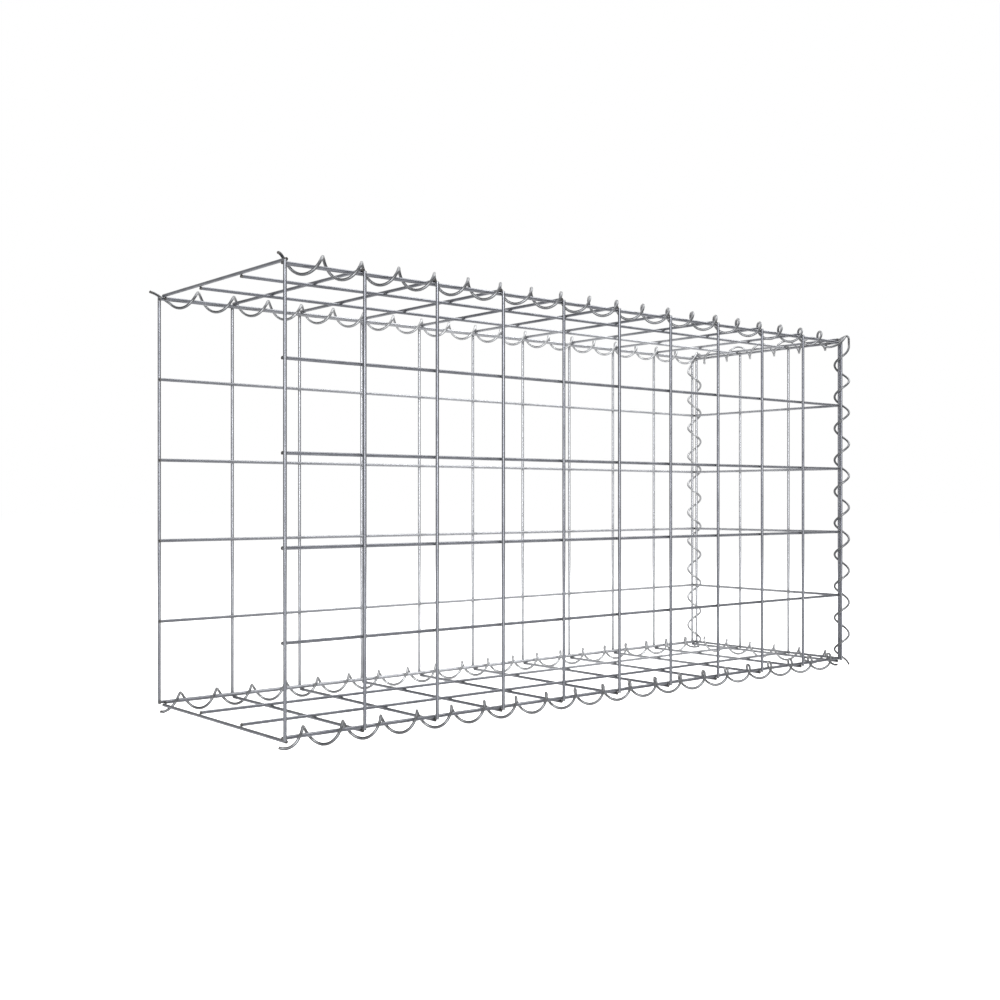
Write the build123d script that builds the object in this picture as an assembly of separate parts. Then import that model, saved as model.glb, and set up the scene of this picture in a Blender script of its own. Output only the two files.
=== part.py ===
from build123d import *
import os
from math import ceil, cos, floor, pi, radians, sin, sqrt, tan

# Gabion basket of welded mesh, laced with spiral wires, open at its left end.
# X runs along the basket towards its closed end, Y from front to back, Z up.
# It is laid out about the centre lines of its inner wires, with the open end at
# X = 0, and then moved so that the origin is the middle of its footprint.

# Basket, between the centre lines of the inner wires
length = 1000.0
depth = 300.0
height = 500.0
mesh = 100.0

# Wires are round, and drawn as bars of few sides with the same section area
wire_dia = 4.0
spiral_wire_dia = 3.5
bar_sides = 6

# How far wires run past the centre line of the edge wire they are welded to
line_overhang = 1.5
upright_overhang = 3.0
cross_wire_tip = 1.0

# Panels lie against each other with a little room
lay_gap = 0.1
end_inset = 3.9

# Spiral wires that lace the edges
spiral_radius = 11.0
turns_per_mesh = 2
steps_per_turn = 8
spiral_in = 1.9
spiral_out = 1.8
seat_gap = 0.2

# A seated end lies over the last cross wire, at this slope, then rejoins the coil
seated_slope = 29.0
seated_reach = 6.5
seated_rejoin_angle = 135.0

# A pulled end runs out past the basket at a smaller radius, then rejoins the coil
pulled_radius = 7.6
pulled_rejoin_angle = 90.0
pulled_front = 11.0
pulled_back = 12.0
pulled_foot = 4.5

# Spirals up the closed end's corners, and across its top and bottom
corner_start_angle = -45.0
corner_start = -9.6
corner_stretch = 8.0
cross_spiral_start = 14.5
cross_spiral_angle = 90.0

# Allowance when whole steps are counted
rounding = 1e-9


def bar_width(dia):
    """Width across flats of a bar that has a round wire's section area."""
    return dia * sqrt(pi / (bar_sides * tan(pi / bar_sides)))


def bar_corner(dia):
    """Radius of that bar to its corners."""
    return bar_width(dia) / 2 / cos(pi / bar_sides)


layer = bar_width(wire_dia)
wire_corner = bar_corner(wire_dia)
spiral_corner = bar_corner(spiral_wire_dia)
contact = wire_corner + spiral_corner + seat_gap

# Farthest a wire can lie from a spiral's axis and run inside its coils
inside_reach = spiral_radius * cos(pi / steps_per_turn) - contact

# Lid and base cross wires lie on the side panels' edge wires
cross_level = wire_corner + lay_gap + layer / 2
lid_line_level = cross_level - layer
lid_edge = layer / 2 + wire_corner + 2 * lay_gap

# The end panel's line wires fit between the side panels
end_line_start = layer / 2 + 2 * lay_gap
end_edge = end_line_start + line_overhang


def spaced(span):
    """Wire positions across a span, at the mesh size or nearest to it."""
    count = max(1, round(span / mesh))
    return [span * i / count for i in range(count + 1)]


def spiral_pitch(span):
    """Pitch of a spiral that makes whole turns between two wires."""
    return span / max(1, round(span / mesh)) / turns_per_mesh


def with_edges(positions, inset):
    """The same wires with the first and last moved in."""
    return [positions[0] + inset] + positions[1:-1] + [positions[-1] - inset]


def bar(start, direction, run, flat):
    """A straight wire from start, with a flat side facing flat."""
    section = Plane(origin=start, x_dir=flat, z_dir=direction)
    outline = RegularPolygon(layer / 2, bar_sides, major_radius=False, rotation=180 / bar_sides)
    return extrude(section * outline, run)


def panel(line_at, cross_at, line_run, cross_run):
    """Flat welded mesh: line wires along X, with cross wires welded on top along Y."""
    wires = []
    for y in line_at:
        wires.append(bar((line_run[0], y, 0), (1, 0, 0), line_run[1] - line_run[0], (0, 0, 1)))
    for x in cross_at:
        wires.append(bar((x, cross_run[0], layer), (0, 1, 0), cross_run[1] - cross_run[0], (0, 0, 1)))
    return wires[0].fuse(*wires[1:])


def along(positions, overhang):
    """Start and end of wires that run a little past the first and last crossing."""
    return (positions[0] - overhang, positions[-1] + overhang)


def side_panel():
    """Front or back: line wires inside, uprights outside."""
    xs = spaced(length)
    zs = spaced(height)
    return panel(zs, xs, along(xs, line_overhang), along(zs, upright_overhang))


def lid_panel():
    """Lid or base: line wires inside, cross wires outside."""
    xs = with_edges(spaced(length), end_inset)
    ys = with_edges(spaced(depth), lid_edge)
    return panel(ys, xs, along(xs, line_overhang), (-cross_wire_tip, depth + cross_wire_tip))


def end_panel():
    """Closed end: line wires inside, uprights outside."""
    ys = with_edges(spaced(depth), end_edge)
    zs = spaced(height)
    return panel(zs, ys, along(ys, line_overhang), along(zs, upright_overhang))


def seated_end():
    """Points where a spiral's end passes over the last cross wire: axial place and height."""
    along_tail = (cos(radians(seated_slope)), -sin(radians(seated_slope)))
    off_tail = (sin(radians(seated_slope)), cos(radians(seated_slope)))
    seat_x = end_inset + contact * off_tail[0]
    seat_z = cross_level - spiral_out + contact * off_tail[1]
    tip = (seat_x - seated_reach * along_tail[0], seat_z - seated_reach * along_tail[1])
    bend = (seat_x + seated_reach * along_tail[0], seat_z + seated_reach * along_tail[1])
    return [tip, bend]


def seated_points(hand):
    """The seated end's points, on the spiral's cylinder."""
    points = []
    for place, level in seated_end():
        points.append((level, hand * sqrt(spiral_radius**2 - level**2), place))
    return points


def pulled_points(hand, pitch, reach):
    """The pulled end's points: its tip, and a bend one step round the coil."""
    step = 360.0 / steps_per_turn
    left_to_rejoin = 1 - step / pulled_rejoin_angle
    bend_along = pitch * step / 360 - reach * left_to_rejoin**2
    tip = (pulled_radius, 0.0, -reach)
    bend = (
        spiral_radius * cos(radians(step)),
        hand * spiral_radius * sin(radians(step)),
        bend_along,
    )
    return [tip, bend]


def coil_points(hand, pitch, first_angle, last_angle, start=0.0):
    """Corner points of a coil: radius along local X and Y, axis along local Z."""
    step = 360.0 / steps_per_turn
    first = ceil(first_angle / step - rounding)
    last = floor(last_angle / step + rounding)
    points = []
    for i in range(first, last + 1):
        angle = radians(i * step)
        points.append(
            (
                spiral_radius * cos(angle),
                hand * spiral_radius * sin(angle),
                start + pitch * i * step / 360,
            )
        )
    return points


def wire_along(points):
    """The spiral's wire, swept along its corner points with mitred joints."""
    path = Polyline(*points)
    section = Plane(origin=points[0], z_dir=Vector(*points[1]) - Vector(*points[0]))
    outline = RegularPolygon(bar_width(spiral_wire_dia) / 2, bar_sides, major_radius=False)
    return sweep(section * outline, path=path, transition=Transition.RIGHT)


def long_spiral(start_end, finish_end):
    """A left-handed spiral along the basket. Each end is seated, or pulled out by a reach."""
    pitch = spiral_pitch(length)
    total = 360.0 * length / pitch

    def end_points(kind, hand):
        if kind == "seated":
            return seated_points(hand), seated_rejoin_angle
        return pulled_points(hand, pitch, kind), pulled_rejoin_angle

    head, head_angle = end_points(start_end, -1)
    tail, tail_angle = end_points(finish_end, 1)
    middle = coil_points(-1, pitch, head_angle, total - tail_angle)
    tail = [(x, y, length - z) for x, y, z in reversed(tail)]
    return wire_along(head + middle + tail)


def corner_spiral():
    """A right-handed spiral up the corner, its top end drawn upwards."""
    pitch = spiral_pitch(height)
    turns = height / pitch
    zero = corner_start - pitch * corner_start_angle / 360
    last_angle = corner_start_angle + 360 * turns
    points = coil_points(1, pitch, corner_start_angle, last_angle, zero)
    x, y, z = points[-1]
    points[-1] = (x, y, z + corner_stretch)
    return wire_along(points)


def cross_spiral():
    """A left-handed spiral across the end, clear of the long spirals at both corners."""
    pitch = spiral_pitch(depth)
    zero = cross_spiral_start - pitch * cross_spiral_angle / 360
    last_angle = 360 * (depth - cross_spiral_start - zero) / pitch
    return wire_along(coil_points(-1, pitch, cross_spiral_angle, last_angle, zero))


def placed(shape, origin, x_dir, z_dir):
    """Stand a shape made in its own frame on the basket."""
    return Plane(origin=origin, x_dir=x_dir, z_dir=z_dir).location * shape


def mirrored(shape, middle, normal):
    """The same piece on the opposite side of the basket."""
    return mirror(shape, about=Plane(origin=middle, z_dir=normal))


centre = (length / 2, depth / 2, height / 2)
side = side_panel()
lid = lid_panel()
end = end_panel()

front_panel = placed(side, (0, 0, 0), (1, 0, 0), (0, -1, 0))
back_panel = mirrored(front_panel, centre, (0, 1, 0))
top_panel = placed(lid, (0, 0, height + lid_line_level), (1, 0, 0), (0, 0, 1))
bottom_panel = mirrored(top_panel, centre, (0, 0, 1))
closed_end = placed(end, (length, 0, 0), (0, 1, 0), (1, 0, 0))

top_front = placed(
    long_spiral("seated", pulled_front), (0, spiral_in, height + spiral_out), (0, 0, 1), (1, 0, 0)
)
bottom_front = placed(
    long_spiral(pulled_foot, "seated"), (0, spiral_in, -spiral_out), (0, 0, -1), (1, 0, 0)
)
top_back = placed(
    long_spiral(pulled_back, "seated"),
    (0, depth - spiral_in, height + spiral_out),
    (0, 0, 1),
    (1, 0, 0),
)
bottom_back = placed(
    long_spiral("seated", pulled_back), (0, depth - spiral_in, -spiral_out), (0, 0, -1), (1, 0, 0)
)

# The corner spirals bear on the end panel's edge uprights
corner_x = length + layer
corner_y = end_edge - inside_reach
end_front = placed(corner_spiral(), (corner_x, corner_y, 0), (1, 0, 0), (0, 0, 1))
end_back = mirrored(end_front, centre, (0, 1, 0))

# The spirals across the end bear on the last cross wires
cross_rise = cross_level - spiral_out
cross_x = length - end_inset + sqrt(inside_reach**2 - cross_rise**2)
end_top = placed(cross_spiral(), (cross_x, 0, height + spiral_out), (0, 0, 1), (0, 1, 0))
end_bottom = mirrored(end_top, centre, (0, 0, 1))

pieces = {
    "front_panel": front_panel,
    "back_panel": back_panel,
    "top_panel": top_panel,
    "bottom_panel": bottom_panel,
    "end_panel": closed_end,
    "spiral_top_front": top_front,
    "spiral_top_back": top_back,
    "spiral_bottom_front": bottom_front,
    "spiral_bottom_back": bottom_back,
    "spiral_end_front": end_front,
    "spiral_end_back": end_back,
    "spiral_end_top": end_top,
    "spiral_end_bottom": end_bottom,
}

# Stand the basket on the ground with the origin under its middle
box = Compound(children=[Compound(piece.solids()) for piece in pieces.values()]).bounding_box()
middle = box.center()
to_ground = Pos(-middle.X, -middle.Y, -box.min.Z)

os.makedirs("parts", exist_ok=True)
for name, piece in pieces.items():
    export_step(to_ground * piece, f"parts/{name}.step")
print("origin moved by", -middle.X, -middle.Y, -box.min.Z)
print("size", box.size)
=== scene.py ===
# %% [markdown]
# A gabion basket of welded mesh. The real one is a cage of galvanised wire, a metre long, whose five
# panels are laced along their edges by spiral wires. The imported model gives every panel and spiral its
# place, with bars of few sides. Here each of them is drawn again in round wire, with its welds, its cut
# ends and its zinc coat, in the same place. The box of the imported model is kept, and the lamps aim at its
# middle.

# %% Load the frame
import random
from collections import namedtuple
from math import cos, pi, radians, sin

import bmesh
import bpy
from mathutils import Matrix, Vector


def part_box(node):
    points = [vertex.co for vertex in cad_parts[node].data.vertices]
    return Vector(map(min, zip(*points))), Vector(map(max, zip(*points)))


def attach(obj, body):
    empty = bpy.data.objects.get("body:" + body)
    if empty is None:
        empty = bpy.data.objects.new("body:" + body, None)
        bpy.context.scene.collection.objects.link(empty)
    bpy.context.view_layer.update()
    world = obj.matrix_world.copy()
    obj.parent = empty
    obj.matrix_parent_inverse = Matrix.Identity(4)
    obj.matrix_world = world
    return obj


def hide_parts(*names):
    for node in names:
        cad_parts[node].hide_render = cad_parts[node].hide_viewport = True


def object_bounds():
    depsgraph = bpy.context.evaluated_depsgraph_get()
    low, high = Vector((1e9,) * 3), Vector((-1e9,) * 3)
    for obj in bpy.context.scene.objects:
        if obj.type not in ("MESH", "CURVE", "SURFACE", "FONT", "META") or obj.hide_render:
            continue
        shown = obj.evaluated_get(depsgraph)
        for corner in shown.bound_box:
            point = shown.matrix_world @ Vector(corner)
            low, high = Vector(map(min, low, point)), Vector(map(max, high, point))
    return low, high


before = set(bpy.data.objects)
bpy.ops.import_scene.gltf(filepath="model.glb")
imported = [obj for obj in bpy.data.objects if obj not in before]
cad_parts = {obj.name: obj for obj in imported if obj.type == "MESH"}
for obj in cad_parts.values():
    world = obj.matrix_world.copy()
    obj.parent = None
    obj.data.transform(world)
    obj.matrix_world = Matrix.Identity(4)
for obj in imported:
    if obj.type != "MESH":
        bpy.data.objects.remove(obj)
cad_low, cad_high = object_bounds()
print("frame box", [round(v, 4) for v in cad_high - cad_low])

# %% [markdown]
# The basket's driving sizes are few: the box between the centre lines of the inner wires, the mesh, and
# the two wire gauges. Where that box stands comes from the frame: the front panel gives its middle along
# and up, and the base gives its middle across.

# %% Sizes of the basket
MM = 0.001
LENGTH = 1.0
DEPTH = 0.3
HEIGHT = 0.5
MESH = 0.1
WIRE_RADIUS = 2.0 * MM
SPIRAL_WIRE_RADIUS = 1.75 * MM

front_low, front_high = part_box("front_panel")
base_low, base_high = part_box("bottom_panel")
ORIGIN = Vector((
    (front_low.x + front_high.x - LENGTH) / 2,
    (base_low.y + base_high.y - DEPTH) / 2,
    (front_low.z + front_high.z - HEIGHT) / 2,
))
# Centre lines of the two layers of a panel lie this far apart
LAYER = (front_high.y - front_low.y) / 2
print("basket origin", [round(v, 4) for v in ORIGIN], "layer", round(LAYER, 5))


def at(x, y, z):
    """A place measured from the basket's lower front corner at its open end."""
    return ORIGIN + Vector((x, y, z))


# %% [markdown]
# The camera comes before the pieces. It stands in front of the open end, level and at half the basket's
# height, and looks across the front towards the closed end. A sensor of 36 mm with the lens below gives
# the photograph's angle of view.

# %% Camera
SENSOR_WIDTH = 36.0
CAMERA_LENS = 43.47
CAMERA_YAW = 0.6998
CAMERA_PLACE = (-0.6427, -1.1171, 0.2505)

camera_data = bpy.data.cameras.new("camera")
camera_data.sensor_width = SENSOR_WIDTH
camera_data.lens = CAMERA_LENS
camera = bpy.data.objects.new("camera", camera_data)
camera.location = at(*CAMERA_PLACE)
camera.rotation_euler = (pi / 2, 0.0, -CAMERA_YAW)
bpy.context.scene.collection.objects.link(camera)
bpy.context.scene.camera = camera
bpy.context.scene.view_settings.view_transform = "Standard"
print("camera at", [round(v, 3) for v in camera.location])


# %% [markdown]
# Every wire is drawn the same way, as a mill draws it: a ring of the wire's section is pulled from
# station to station, and each pull is one extrude, one turn and one move. A turn no larger than the bend
# keeps the ring square to the wire, so the same few lines make a straight rod, a coil and a bent tail.
# Three marks go on the points while the wire is drawn. "grain" wraps round the wire and runs along it, so
# that a drawn surface can follow the wire wherever it bends, "weld" says how near a weld is, and "cut" is
# set on the cut ends. A mill shears its wire, so an end is a little tilted and its rim a little rounded.

# %% Drawing a wire
GRAIN = "grain"
WELD = "weld"
CUT = "cut"
RIM_BEVEL = 0.35 * MM
RIM_STEPS = 2
SHEAR_TILT = radians(9)
print("marks on the points", GRAIN, WELD, CUT)


def new_mesh():
    """An empty mesh with the marks that the finish reads."""
    bm = bmesh.new()
    bm.verts.layers.float_vector.new(GRAIN)
    bm.verts.layers.float.new(WELD)
    bm.verts.layers.float.new(CUT)
    return bm


def start_ring(bm, place, direction, radius, sides):
    """The first section of a wire, in an empty mesh, square to the wire's direction."""
    grain = bm.verts.layers.float_vector[GRAIN]
    ring = bmesh.ops.create_circle(bm, segments=sides, radius=radius)["verts"]
    for vert in ring:
        vert[grain] = vert.co
    turn = Vector((0, 0, 1)).rotation_difference(direction).to_matrix()
    bmesh.ops.rotate(bm, verts=ring, cent=(0, 0, 0), matrix=turn)
    bmesh.ops.translate(bm, verts=ring, vec=place)
    return list(bm.edges)


def draw_wire(bm, stations, radius, sides, weld_at=None):
    """Pull a ring through the stations, close both cut ends and round their rims."""
    grain = bm.verts.layers.float_vector[GRAIN]
    weld = bm.verts.layers.float[WELD]
    cut = bm.verts.layers.float[CUT]
    ahead = [(b - a).normalized() for a, b in zip(stations, stations[1:])]
    facing = [ahead[0]] + [(a + b).normalized() for a, b in zip(ahead, ahead[1:])] + [ahead[-1]]
    edges = start_ring(bm, stations[0], facing[0], radius, sides)
    first = edges
    run = 0.0
    for i in range(1, len(stations)):
        pulled = bmesh.ops.extrude_edge_only(bm, edges=edges)["geom"]
        ring = [item for item in pulled if isinstance(item, bmesh.types.BMVert)]
        turn = facing[i - 1].rotation_difference(facing[i]).to_matrix()
        bmesh.ops.rotate(bm, verts=ring, cent=stations[i - 1], matrix=turn)
        bmesh.ops.translate(bm, verts=ring, vec=stations[i] - stations[i - 1])
        run += (stations[i] - stations[i - 1]).length
        heat = weld_at(i) if weld_at else 0.0
        for vert in ring:
            vert[grain].z = run
            vert[weld] = heat
        new = set(ring)
        edges = [e for e in pulled if isinstance(e, bmesh.types.BMEdge) and set(e.verts) <= new]
    for rim, place, direction in ((first, stations[0], facing[0]), (edges, stations[-1], facing[-1])):
        close_end(bm, rim, place, direction, cut)


def close_end(bm, rim, place, direction, cut):
    """A sheared end: a tilted face with a rounded rim."""
    ring = list(dict.fromkeys(vert for edge in rim for vert in edge.verts))
    side = direction.orthogonal().normalized()
    tilt = Matrix.Rotation(SHEAR_TILT, 3, side)
    bmesh.ops.rotate(bm, verts=ring, cent=place, matrix=tilt)
    face = bmesh.ops.contextual_create(bm, geom=rim)["faces"][0]
    rounded = bmesh.ops.bevel(
        bm,
        geom=list(face.edges),
        offset=RIM_BEVEL,
        segments=RIM_STEPS,
        affect="EDGES",
        profile=0.5,
        material=-1,
    )
    for vert in {v for f in rounded["faces"] for v in f.verts}:
        vert[cut] = 1.0


# %% [markdown]
# A panel holds dozens of rods and welds, and an operator slows down as its mesh grows. So each group of rods
# is drawn in a small mesh of its own, which is then joined to the piece. The finished piece rides on the
# body that holds its node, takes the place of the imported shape, and says which kind of wire it is. The
# sides of a wire are shaded smooth. A cut face has many corners, so it stays flat.

# %% From mesh to piece
SIDE_CORNERS = 4


def join(bm, part):
    """Add a small mesh to a piece."""
    mesh = bpy.data.meshes.new("part")
    part.to_mesh(mesh)
    part.free()
    bm.from_mesh(mesh)
    bpy.data.meshes.remove(mesh)


def finish_piece(bm, name, nodes, material):
    """Shade the mesh, give it its finish, and put it in the place of its nodes."""
    bmesh.ops.recalc_face_normals(bm, faces=bm.faces)
    for face in bm.faces:
        face.smooth = len(face.verts) <= SIDE_CORNERS
    mesh = bpy.data.meshes.new(name)
    bm.to_mesh(mesh)
    bm.free()
    piece = bpy.data.objects.new(name, mesh)
    bpy.context.scene.collection.objects.link(piece)
    mesh.materials.append(material)
    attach(piece, "root")
    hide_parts(*nodes)
    triangles = sum(len(polygon.vertices) - 2 for polygon in mesh.polygons)
    print(name, "triangles", triangles)
    return piece


# %% [markdown]
# A finish is a small network of nodes, so that it holds no picture and can be looked at from any distance.
# Four helpers keep such a network readable: one makes a node with its settings in place, one reads a mark
# that was left on the points, one mixes two colours, and one maps part of a range to another range.

# %% Nodes of a finish
def value_node(tree, kind, **settings):
    """A node with its settings in place."""
    node = tree.nodes.new(kind)
    for key, value in settings.items():
        if hasattr(node, key):
            setattr(node, key, value)
        else:
            node.inputs[key].default_value = value
    return node


def mark(tree, name):
    """A node that reads one of the marks left on the points."""
    return value_node(tree, "ShaderNodeAttribute", attribute_name=name)


def mix(tree, blend, factor, low, high):
    """Mix two colours, by a socket or by a fixed share."""
    node = value_node(tree, "ShaderNodeMix", data_type="RGBA", blend_type=blend)
    for socket, value in ((node.inputs[0], factor), (node.inputs[6], low), (node.inputs[7], high)):
        if isinstance(value, bpy.types.NodeSocket):
            tree.links.new(value, socket)
        else:
            socket.default_value = value
    return node.outputs[2]


def spread(tree, source, low, high, to_low, to_high):
    """Map part of a range to another range."""
    node = tree.nodes.new("ShaderNodeMapRange")
    tree.links.new(source, node.inputs["Value"])
    for key, value in (("From Min", low), ("From Max", high), ("To Min", to_low), ("To Max", to_high)):
        node.inputs[key].default_value = value
    return node.outputs["Result"]


# %% [markdown]
# The wire is galvanised: steel under a coat of zinc, a cool satin grey. Three things break up that grey on
# the real wire. Fine lines from the drawing die run along it, the zinc has a fine speckle and cloudy
# patches a few centimetres long, and every weld has burnt the zinc to a duller, darker grey. Painted light
# is added too: the coat is painted paler towards the back and the closed end, for the lighter look of the
# far wires. The drawing lines follow the "grain" mark, which is stretched along the wire. The speckle, the
# clouds and the painted light read the object's own coordinates. The burn follows the "weld" mark, and cut
# ends show bare steel. A thin wire looks light in its middle and dark at its edges only if it reflects its
# surroundings, so the zinc is a dark metal and not a pale paint. Constants stay on the shader's sockets.

# %% Galvanised finish
# The painted light, a paler coat on the far wires, grows by this much per metre along each axis, and only
# between these two levels
PAINTED_LIGHT_TOWARDS = (1.8, 6.5, 0.0)
PAINTED_LIGHT_FROM = 0.05
PAINTED_LIGHT_TO = 0.75
LINES_SCALE = (1500.0, 1500.0, 14.0)
CLOUDS_SCALE = 38.0
SPECKLE_SCALE = 900.0
# Noise keeps to the middle of its range, so these parts of it are mapped to the shares below
NOISE_USED = (0.35, 0.7)
CLOUDS_USED = (0.38, 0.66)
STREAKS = (0.86, 1.08)
GRAINS = (0.9, 1.06)
SMOOTHER = 0.06
ROUGHER = 0.08
BURN_SHARE = 0.5
RELIEF = {"Strength": 0.18, "Distance": 0.04 * MM}
PITTING = {"Strength": 0.25, "Distance": 0.05 * MM}
METALLIC = 0.85
BARE_STEEL = (0.055, 0.053, 0.051, 1.0)


def galvanised(name, zinc, cloud, painted_light_coat, burnt, roughness):
    """Zinc coated wire, with drawing lines, clouds, burnt welds, bare cut ends and a painted paler coat on
    the far wires.
    """
    material = bpy.data.materials.new(name)
    material.use_nodes = True
    tree = material.node_tree
    shader = tree.nodes["Principled BSDF"]
    link = tree.links.new

    lines_place = value_node(tree, "ShaderNodeMapping")
    lines_place.inputs["Scale"].default_value = LINES_SCALE
    link(mark(tree, GRAIN).outputs["Vector"], lines_place.inputs["Vector"])
    lines = value_node(tree, "ShaderNodeTexNoise", Scale=1.0, Detail=3.0, Roughness=0.6)
    link(lines_place.outputs["Vector"], lines.inputs["Vector"])

    place = tree.nodes.new("ShaderNodeTexCoord").outputs["Object"]
    clouds = value_node(tree, "ShaderNodeTexNoise", Scale=CLOUDS_SCALE, Detail=4.0, Roughness=0.55)
    link(place, clouds.inputs["Vector"])
    speckle = value_node(tree, "ShaderNodeTexNoise", Scale=SPECKLE_SCALE, Detail=2.0, Roughness=0.5)
    link(place, speckle.inputs["Vector"])

    cloudy = spread(tree, clouds.outputs["Fac"], *CLOUDS_USED, 0.0, 1.0)
    coat = mix(tree, "MIX", cloudy, zinc, cloud)
    # Painted light: the coat is mixed towards a paler grey on the far wires, by how far towards the back and
    # the closed end a point lies
    inwards = value_node(tree, "ShaderNodeVectorMath", operation="DOT_PRODUCT")
    inwards.inputs[1].default_value = PAINTED_LIGHT_TOWARDS
    link(place, inwards.inputs[0])
    painted_light_share = spread(tree, inwards.outputs["Value"], PAINTED_LIGHT_FROM, PAINTED_LIGHT_TO, 0.0, 1.0)
    coat = mix(tree, "MIX", painted_light_share, coat, painted_light_coat)
    streaks = spread(tree, lines.outputs["Fac"], *NOISE_USED, *STREAKS)
    coat = mix(tree, "MULTIPLY", 1.0, coat, streaks)
    grains = spread(tree, speckle.outputs["Fac"], *NOISE_USED, *GRAINS)
    coat = mix(tree, "MULTIPLY", 1.0, coat, grains)
    burn = spread(tree, mark(tree, WELD).outputs["Fac"], 0.0, 1.0, 0.0, BURN_SHARE)
    coat = mix(tree, "MIX", burn, coat, burnt)
    coat = mix(tree, "MIX", mark(tree, CUT).outputs["Fac"], coat, BARE_STEEL)
    link(coat, shader.inputs["Base Color"])

    satin = spread(tree, clouds.outputs["Fac"], *NOISE_USED, roughness - SMOOTHER, roughness + ROUGHER)
    link(satin, shader.inputs["Roughness"])
    relief = value_node(tree, "ShaderNodeBump", **RELIEF)
    link(lines.outputs["Fac"], relief.inputs["Height"])
    pitted = value_node(tree, "ShaderNodeBump", **PITTING)
    link(speckle.outputs["Fac"], pitted.inputs["Height"])
    link(relief.outputs["Normal"], pitted.inputs["Normal"])
    link(pitted.outputs["Normal"], shader.inputs["Normal"])
    shader.inputs["Metallic"].default_value = METALLIC
    return material


# %% [markdown]
# The basket has two kinds of wire. The panels' thicker wire is a cool, slightly blue grey. The spirals are
# hard drawn wire, a little plainer in colour and smoother, so they glint more where they turn to the light.

# %% Zinc of the panels and of the spirals
panel_zinc = galvanised(
    "panel_zinc",
    zinc=(0.116, 0.12, 0.134, 1.0),
    cloud=(0.09, 0.093, 0.105, 1.0),
    # Painted light: the paler grey that the panels' coat turns to on the far wires
    painted_light_coat=(0.255, 0.26, 0.274, 1.0),
    burnt=(0.105, 0.107, 0.114, 1.0),
    roughness=0.36,
)
spiral_zinc = galvanised(
    "spiral_zinc",
    zinc=(0.1, 0.102, 0.107, 1.0),
    cloud=(0.076, 0.078, 0.082, 1.0),
    # Painted light: the paler grey that the spirals' coat turns to on the far wires
    painted_light_coat=(0.225, 0.228, 0.234, 1.0),
    burnt=(0.105, 0.105, 0.109, 1.0),
    roughness=0.34,
)
print("finishes", panel_zinc.name, spiral_zinc.name)

# %% [markdown]
# A mesh panel is made of two kinds of rod, so each kind is drawn once and duplicated. The welding jaws press
# the rods into each other by about a fifth of a millimetre, so the two layers lie a little closer than one
# rod's thickness. Stations crowd together at each crossing, to carry the heat of its weld. A small
# flattened bead between the rods is the metal squeezed out of that weld. The beads differ in size and turn,
# as real ones do.

# %% Rods and welds
ROD_SIDES = 16
SEED = 11
WELD_STEPS = (-9.0, -5.0, -2.5, 0.0, 2.5, 5.0, 9.0)
WELD_REACH = 9.0 * MM
BETWEEN_STEP = 25.0 * MM
BEAD_RADIUS = 1.9 * MM
BEAD_HEIGHT = 0.8 * MM
BEAD_SEGMENTS = 10
BEAD_RINGS = 5
# How much beads differ in width, flatness and roundness, and how burnt they are
BEAD_WIDTHS = (0.88, 1.14)
BEAD_HEIGHTS = (0.85, 1.15)
BEAD_OVALS = (0.88, 1.0)
BEAD_HEATS = (0.3, 0.6)
BEAD_GRAIN = 0.5
chance = random.Random(SEED)
print("bead", BEAD_RADIUS * 2, "wide", BEAD_HEIGHT * 2, "high")


def rod_stations(start, end, crossings):
    """Places along a rod, close together at its crossings, with the heat at each."""
    places = {round(start, 6), round(end, 6)}
    for crossing in crossings:
        places |= {round(crossing + step * MM, 6) for step in WELD_STEPS}
    steps = int((end - start) / BETWEEN_STEP)
    for i in range(1, steps):
        place = start + (end - start) * i / steps
        if min(abs(place - crossing) for crossing in crossings) > WELD_REACH:
            places.add(round(place, 6))
    places = sorted(p for p in places if start <= p <= end)
    heat = [max(0.0, 1 - min(abs(p - c) for c in crossings) / WELD_REACH) for p in places]
    return places, heat


def add_rods(bm, start, direction, span, crossings, copies):
    """Draw one rod, then set copies of it side by side."""
    places, heat = rod_stations(span[0], span[1], crossings)
    rods = new_mesh()
    draw_wire(rods, [start + direction * p for p in places], WIRE_RADIUS, ROD_SIDES, lambda i: heat[i])
    rod = rods.verts[:] + rods.edges[:] + rods.faces[:]
    for offset in copies[1:]:
        made = bmesh.ops.duplicate(rods, geom=rod)["geom"]
        verts = [item for item in made if isinstance(item, bmesh.types.BMVert)]
        bmesh.ops.translate(rods, verts=verts, vec=offset - copies[0])
    join(bm, rods)


def add_bead(bm, place, normal):
    """Metal squeezed out between two rods at their weld."""
    weld = bm.verts.layers.float[WELD]
    grain = bm.verts.layers.float_vector[GRAIN]
    sphere = bmesh.ops.create_uvsphere(
        bm, u_segments=BEAD_SEGMENTS, v_segments=BEAD_RINGS, radius=BEAD_RADIUS
    )
    bead = sphere["verts"]
    wide = chance.uniform(*BEAD_WIDTHS)
    flat = BEAD_HEIGHT / BEAD_RADIUS * chance.uniform(*BEAD_HEIGHTS)
    bmesh.ops.scale(bm, verts=bead, vec=(wide, wide * chance.uniform(*BEAD_OVALS), flat))
    turn = Matrix.Rotation(chance.uniform(0, pi), 3, "Z")
    bmesh.ops.rotate(bm, verts=bead, cent=(0, 0, 0), matrix=turn)
    stand = Vector((0, 0, 1)).rotation_difference(normal).to_matrix()
    bmesh.ops.rotate(bm, verts=bead, cent=(0, 0, 0), matrix=stand)
    for vert in bead:
        vert[weld] = chance.uniform(*BEAD_HEATS)
        vert[grain] = vert.co * BEAD_GRAIN
    bmesh.ops.translate(bm, verts=bead, vec=place)


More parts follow.
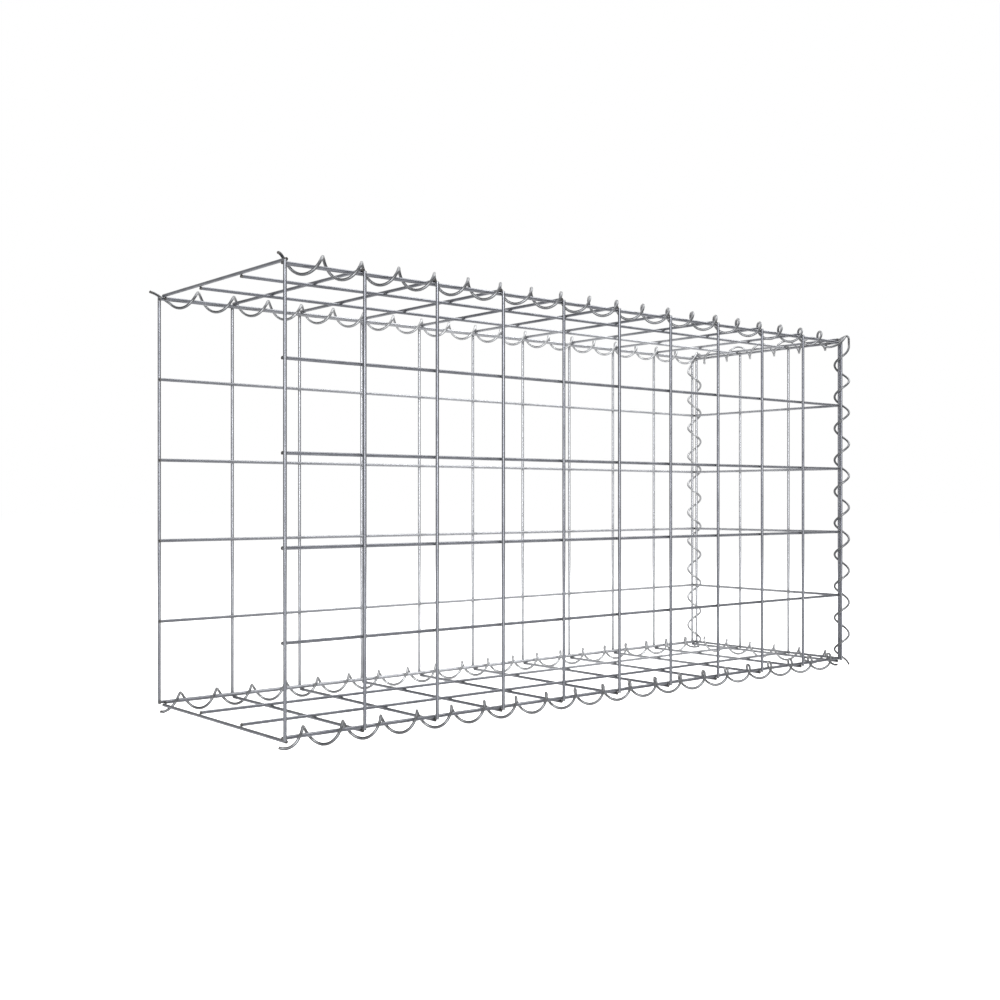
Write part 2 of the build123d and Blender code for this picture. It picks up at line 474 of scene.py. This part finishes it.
def add_mesh_panel(bm, corner, line_dir, cross_dir, out_dir, line_at, cross_at, line_span, cross_span):
    """Welded mesh: line rods on the inside, cross rods on the outside, a bead at each crossing."""
    across = [cross_dir * y for y in line_at]
    along = [line_dir * x for x in cross_at]
    add_rods(bm, corner + across[0], line_dir, line_span, cross_at, across)
    add_rods(bm, corner + out_dir * LAYER + along[0], cross_dir, cross_span, line_at, along)
    beads = new_mesh()
    for x in cross_at:
        for y in line_at:
            crossing = corner + line_dir * x + cross_dir * y
            add_bead(beads, crossing + out_dir * (LAYER / 2), out_dir)
    join(bm, beads)


# %% [markdown]
# The panels differ only in where their rods lie. The two sides have uprights outside, the lid and the base
# have their cross rods outside, and the closed end fits between the sides. Rods run a little past the
# edge rods that they are welded to, as they do on a real panel. How far the outer rods run, and how much
# the edge rods of the lid, base and end are moved in, is read from each panel's box in the frame.

# %% Panels
X = Vector((1, 0, 0))
Y = Vector((0, 1, 0))
Z = Vector((0, 0, 1))
LINE_OVERHANG = 1.5 * MM
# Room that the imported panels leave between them
LAY_ROOM = 0.2 * MM
# The side panels' line rods are cut this much shorter at the closed end, clear of that panel's welds
WELD_ROOM = 0.5 * MM


def spaced(span):
    """Rod places across a span, one mesh apart."""
    count = round(span / MESH)
    return [span * i / count for i in range(count + 1)]


def moved_in(places, inset):
    """The same rods with the first and last moved in."""
    return [places[0] + inset] + places[1:-1] + [places[-1] - inset]


def span_of(low, high, origin):
    """From one end of a rod to the other, measured from the basket's corner."""
    return (low - origin, high - origin)


end_low, end_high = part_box("end_panel")
lid_low, lid_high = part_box("top_panel")
side_lines = (-LINE_OVERHANG, LENGTH + LINE_OVERHANG - WELD_ROOM)
side_uprights = span_of(front_low.z, front_high.z, ORIGIN.z)
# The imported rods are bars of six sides, and this is their radius to a corner
BAR_CORNER = LAYER / 2 / cos(pi / 6)
lid_inset = lid_low.x - ORIGIN.x + BAR_CORNER
end_inset = end_low.y - ORIGIN.y + LINE_OVERHANG
lid_edge = LAYER / 2 + BAR_CORNER + LAY_ROOM
lid_level = (lid_low.z + lid_high.z - LAYER) / 2 - ORIGIN.z
lid_crosses = span_of(lid_low.y, lid_high.y, ORIGIN.y)
side_x, side_z = spaced(LENGTH), spaced(HEIGHT)
lid_x, lid_y = moved_in(side_x, lid_inset), moved_in(spaced(DEPTH), lid_edge)
lid_lines = (lid_x[0] - LINE_OVERHANG, lid_x[-1] + LINE_OVERHANG)
end_y = moved_in(spaced(DEPTH), end_inset)
end_lines = span_of(end_low.y, end_high.y, ORIGIN.y)

side_layout = (side_z, side_x, side_lines, side_uprights)
lid_layout = (lid_y, lid_x, lid_lines, lid_crosses)
end_layout = (side_z, end_y, end_lines, side_uprights)
panels = {
    "front_mesh": ("front_panel", at(0, 0, 0), X, Z, -Y, *side_layout),
    "back_mesh": ("back_panel", at(0, DEPTH, 0), X, Z, Y, *side_layout),
    "lid_mesh": ("top_panel", at(0, 0, lid_level), X, Y, Z, *lid_layout),
    "base_mesh": ("bottom_panel", at(0, 0, HEIGHT - lid_level), X, Y, -Z, *lid_layout),
    "end_mesh": ("end_panel", at(LENGTH, 0, 0), Y, Z, X, *end_layout),
}
for name, (node, *layout) in panels.items():
    bm = new_mesh()
    add_mesh_panel(bm, *layout)
    finish_piece(bm, name, [node], panel_zinc)

# %% [markdown]
# A spiral binder is hard wire wound to a long coil and screwed in from one end, so that it passes outside
# the edge rods of both panels at every half mesh. Its path is a formula: the angle grows, the place along
# the axis grows with it, and the radius stays. Each path is worked out in a frame of its own, with the
# coil's axis along Z and its angle counted from X. The hand is 1 for a right-handed coil and -1 for a left.

# %% Coil of a spiral
SPIRAL_RADIUS = 11.0 * MM
PITCH = MESH / 2
TURN = 2 * pi
STEPS = 28
SPIRAL_SIDES = 12
print("coil", SPIRAL_RADIUS * 2, "across, with a pitch of", PITCH)


def on_coil(angle, place, hand, radius=SPIRAL_RADIUS):
    """A point in a spiral's own frame: radius along X at angle zero, axis along Z."""
    return Vector((radius * cos(angle), hand * radius * sin(angle), place))


def angles(first, last):
    """Even steps from one angle to another."""
    count = max(2, round((last - first) / TURN * STEPS))
    return [first + (last - first) * i / count for i in range(count + 1)]


# %% [markdown]
# The ends of a spiral are where the coil was cut and then pulled or pushed by hand, so they leave the
# formula gently. A pulled end runs out past the basket, and four of them differ in how far and how sharply
# they are pulled. A seated end unwinds more slowly and lies over the last cross rod. Its angle follows a
# cubic curve, so that it leaves the rod at one slope and meets the coil at the coil's own slope.

# %% Ends of the long spirals
PulledEnd = namedtuple("PulledEnd", "tip_angle tip_radius reach rejoin ease")
PULLED_FRONT = PulledEnd(radians(45), 11.0 * MM, 8.0 * MM, radians(180), 1.3)
PULLED_BACK = PulledEnd(radians(43.6), 8.6 * MM, 12.0 * MM, radians(120), 1.43)
PULLED_BASE = PulledEnd(0.0, 7.6 * MM, 12.0 * MM, radians(90), 2.0)
PULLED_FOOT = PulledEnd(0.0, 7.6 * MM, 4.5 * MM, radians(90), 2.0)
# A seated end: where it rejoins the coil, where and at what slope it lies on the rod, and its very tip
SEATED_REJOIN = radians(135)
SEATED_ANGLE = radians(32)
SEATED_PLACE = 0.3 * MM
SEATED_SLOPE = radians(3.2) / MM
SEATED_STEPS = 12
TIP_ANGLE = radians(18.6)
TIP_PAST = 3.0 * MM
TIP_RADIUS = 9.7 * MM
print("pulled ends reach", [end.reach for end in (PULLED_FRONT, PULLED_BACK, PULLED_BASE, PULLED_FOOT)])


def pulled_end(end, hand):
    """From the tip of a pulled end to where it rejoins the coil."""
    stretch = end.reach + PITCH * end.tip_angle / TURN
    points = []
    for angle in angles(end.tip_angle, end.rejoin)[:-1]:
        left = (end.rejoin - angle) / (end.rejoin - end.tip_angle)
        place = PITCH * angle / TURN - stretch * left**end.ease
        radius = SPIRAL_RADIUS - (SPIRAL_RADIUS - end.tip_radius) * left**3
        points.append(on_coil(angle, place, hand, radius))
    return points


def between(t, start, start_slope, finish, finish_slope):
    """A cubic curve from one value and slope to another, as t goes from 0 to 1."""
    return (
        (2 * t**3 - 3 * t**2 + 1) * start
        + (t**3 - 2 * t**2 + t) * start_slope
        + (3 * t**2 - 2 * t**3) * finish
        + (t**3 - t**2) * finish_slope
    )


def seated_end(hand):
    """From the tip of a seated end to where it rejoins the coil."""
    run = PITCH * SEATED_REJOIN / TURN - SEATED_PLACE
    points = [on_coil(TIP_ANGLE, -TIP_PAST, hand, TIP_RADIUS)]
    for i in range(SEATED_STEPS):
        t = i / SEATED_STEPS
        angle = between(t, SEATED_ANGLE, run * SEATED_SLOPE, SEATED_REJOIN, run * TURN / PITCH)
        points.append(on_coil(angle, SEATED_PLACE + run * t, hand))
    return points


# %% [markdown]
# Three kinds of spiral lace the basket. A long one runs the whole length of an edge, and its two ends are
# added to the middle of its coil. A corner one stands at the closed end, and its top end is drawn up and
# bent over the corner, through a few points taken along that bend. A cross one runs across the closed
# end, and stops short of the corners because the long spirals are there.

# %% Paths of the spirals
def long_path(start, finish):
    """A left-handed spiral along the basket. An end that isn't pulled is seated."""
    total = LENGTH / PITCH * TURN
    head = pulled_end(start, -1) if start else seated_end(-1)
    tail = pulled_end(finish, 1) if finish else seated_end(1)
    tail = [Vector((p.x, p.y, LENGTH - p.z)) for p in reversed(tail)]
    first = start.rejoin if start else SEATED_REJOIN
    last = total - (finish.rejoin if finish else SEATED_REJOIN)
    return head + [on_coil(a, PITCH * a / TURN, -1) for a in angles(first, last)] + tail


CORNER_FIRST = radians(-45)
CORNER_START = -9.6 * MM
# The last part of the coil is drawn up by this much, over this angle
CORNER_STRETCH = 8.0 * MM
CORNER_DRAWN = radians(90)
# The bend above it: angle past the coil's last point in degrees, height and radius in millimetres
CORNER_BEND = (
    (6, 505.0, 11.2),
    (15, 509.0, 11.3),
    (32, 510.8, 11.3),
    (58, 510.0, 11.2),
    (84, 507.6, 11.0),
    (110, 504.9, 11.0),
    (135, 502.4, 11.0),
)


def corner_path():
    """A right-handed spiral up a corner, its top end drawn upwards and bent over."""
    zero = CORNER_START - PITCH * CORNER_FIRST / TURN
    last = CORNER_FIRST + HEIGHT / PITCH * TURN
    points = []
    for angle in angles(CORNER_FIRST, last):
        drawn_up = max(0.0, 1 - (last - angle) / CORNER_DRAWN)
        place = zero + PITCH * angle / TURN + CORNER_STRETCH * drawn_up**2
        points.append(on_coil(angle, place, 1))
    for past, level, radius in CORNER_BEND:
        points.append(on_coil(last + radians(past), level * MM, 1, radius * MM))
    return points


CROSS_START = 14.5 * MM
CROSS_FIRST = radians(90)
CROSS_LAST = radians(2025)


def cross_path():
    """A left-handed spiral across the closed end, clear of the long spirals."""
    zero = CROSS_START - PITCH * CROSS_FIRST / TURN
    return [on_coil(a, zero + PITCH * a / TURN, -1) for a in angles(CROSS_FIRST, CROSS_LAST)]


# %% [markdown]
# Each path is stood on its edge of the basket. A long spiral's axis lies a little inside and beyond the
# edge, so that its coil bears on the rods of both panels. The axes of the corner and cross spirals are the
# middles of their nodes' boxes. The back corner and the bottom of the end are mirror images, so their
# points are mirrored before the wire is drawn, and the mesh never turns inside out.

# %% Spirals
def axis_of(node):
    """The middle of a spiral's box."""
    low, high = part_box(node)
    return (low + high) / 2


def stood(points, origin, x_dir, z_dir):
    """Points from a spiral's own frame, stood on the basket."""
    y_dir = z_dir.cross(x_dir)
    return [origin + x_dir * p.x + y_dir * p.y + z_dir * p.z for p in points]


def flipped(points, axis, middle):
    """The same points on the opposite side of the basket."""
    made = [p.copy() for p in points]
    for p in made:
        p[axis] = 2 * middle - p[axis]
    return made


AXIS_IN = 1.9 * MM
AXIS_OUT = 1.8 * MM
corner_axis = axis_of("spiral_end_front")
cross_axis = axis_of("spiral_end_top")
corner_points = stood(corner_path(), Vector((corner_axis.x, corner_axis.y, ORIGIN.z)), X, Z)
cross_points = stood(cross_path(), Vector((cross_axis.x, ORIGIN.y, cross_axis.z)), Z, Y)
top = HEIGHT + AXIS_OUT
back = DEPTH - AXIS_IN
spirals = {
    "spiral_top_front": stood(long_path(None, PULLED_FRONT), at(0, AXIS_IN, top), Z, X),
    "spiral_bottom_front": stood(long_path(PULLED_FOOT, None), at(0, AXIS_IN, -AXIS_OUT), -Z, X),
    "spiral_top_back": stood(long_path(PULLED_BACK, None), at(0, back, top), Z, X),
    "spiral_bottom_back": stood(long_path(None, PULLED_BASE), at(0, back, -AXIS_OUT), -Z, X),
    "spiral_end_front": corner_points,
    "spiral_end_back": flipped(corner_points, 1, ORIGIN.y + DEPTH / 2),
    "spiral_end_top": cross_points,
    "spiral_end_bottom": flipped(cross_points, 2, ORIGIN.z + HEIGHT / 2),
}
for node, points in spirals.items():
    bm = new_mesh()
    draw_wire(bm, points, SPIRAL_WIRE_RADIUS, SPIRAL_SIDES)
    finish_piece(bm, node + "_wire", [node], spiral_zinc)

# %% [markdown]
# The basket stands on a plain pale floor in a plain pale room. The white of the photograph's background is
# the room's own colour as the camera and the metal see it. The light on the object comes from lamps, so
# the room gives hardly any, and the floor throws little back: a bright floor would light the wires from
# below, and in the photograph their undersides are dark.

# %% Room
ROOM_LIGHT = 0.06
ROOM_SEEN = 1.0
FLOOR_SIZE = 40.0
# How pale the floor is for the light it throws back, and as it is seen
FLOOR_RETURN = 0.08
FLOOR_PALE = 0.8
FLOOR_GLOW = 0.96
FLOOR_ROUGHNESS = 0.9


def seen_directly(tree):
    """One where the camera looks, or where metal or glass reflects or passes the view."""
    path = tree.nodes.new("ShaderNodeLightPath")
    first_two = value_node(tree, "ShaderNodeMath", operation="MAXIMUM")
    all_three = value_node(tree, "ShaderNodeMath", operation="MAXIMUM")
    tree.links.new(path.outputs["Is Camera Ray"], first_two.inputs[0])
    tree.links.new(path.outputs["Is Glossy Ray"], first_two.inputs[1])
    tree.links.new(first_two.outputs[0], all_three.inputs[0])
    tree.links.new(path.outputs["Is Transmission Ray"], all_three.inputs[1])
    return all_three.outputs[0]


def by_ray(tree, otherwise, directly, socket):
    """Give a socket one value for what is seen directly and another for all other light."""
    tree.links.new(spread(tree, seen_directly(tree), 0.0, 1.0, otherwise, directly), socket)


world = bpy.data.worlds.new("room")
bpy.context.scene.world = world
world.use_nodes = True
sky = world.node_tree
background = sky.nodes["Background"]
background.inputs["Color"].default_value = (1.0, 1.0, 1.0, 1.0)
by_ray(sky, ROOM_LIGHT, ROOM_SEEN, background.inputs["Strength"])

floor_paint = bpy.data.materials.new("floor_paint")
floor_paint.use_nodes = True
paint = floor_paint.node_tree
matt = paint.nodes["Principled BSDF"]
by_ray(paint, FLOOR_RETURN, FLOOR_PALE, matt.inputs["Base Color"])
matt.inputs["Roughness"].default_value = FLOOR_ROUGHNESS
matt.inputs["Specular IOR Level"].default_value = 0.0
matt.inputs["Emission Color"].default_value = (1.0, 1.0, 1.0, 1.0)
by_ray(paint, 0.0, FLOOR_GLOW, matt.inputs["Emission Strength"])

floor_mesh = bpy.data.meshes.new("floor")
bm = bmesh.new()
bmesh.ops.create_grid(bm, x_segments=1, y_segments=1, size=FLOOR_SIZE / 2)
bm.to_mesh(floor_mesh)
bm.free()
floor = bpy.data.objects.new("floor", floor_mesh)
bpy.context.scene.collection.objects.link(floor)
floor_mesh.materials.append(floor_paint)
print("floor", FLOOR_SIZE, "across")

# %% [markdown]
# On a bright wire what is seen is the reflection of the lamps, so each lamp is a large soft panel, and its
# place decides which wires it brightens. The front lamp stands behind the camera and above it, and puts a
# light line along the middle of every upright. The top lamp and the right one do the same for the upper
# sides of the wires that run along the basket, and the weak back lamp keeps its far side from going dull.

# %% Lamps
# Place, width, height and power of each lamp
LAMPS = {
    "top_lamp": ((0.1, 0.1, 2.2), 2.0, 2.0, 50),
    "front_lamp": ((-1.6, -2.0, 0.85), 1.4, 1.6, 112),
    "right_lamp": ((1.5, -0.5, 2.1), 1.4, 1.4, 40),
    "back_lamp": ((1.6, 2.0, 1.4), 1.6, 1.6, 10),
}


def soft_lamp(name, place, target, width, height, power):
    """A lamp with a rectangular face, turned to a point."""
    data = bpy.data.lights.new(name, "AREA")
    data.shape = "RECTANGLE"
    data.size = width
    data.size_y = height
    data.energy = power
    lamp = bpy.data.objects.new(name, data)
    lamp.location = place
    lamp.rotation_euler = (Vector(target) - Vector(place)).to_track_quat("-Z", "Y").to_euler()
    bpy.context.scene.collection.objects.link(lamp)


middle = (cad_low + cad_high) / 2
for name, (place, width, height, power) in LAMPS.items():
    soft_lamp(name, place, middle, width, height, power)
    print(name, power, "W")
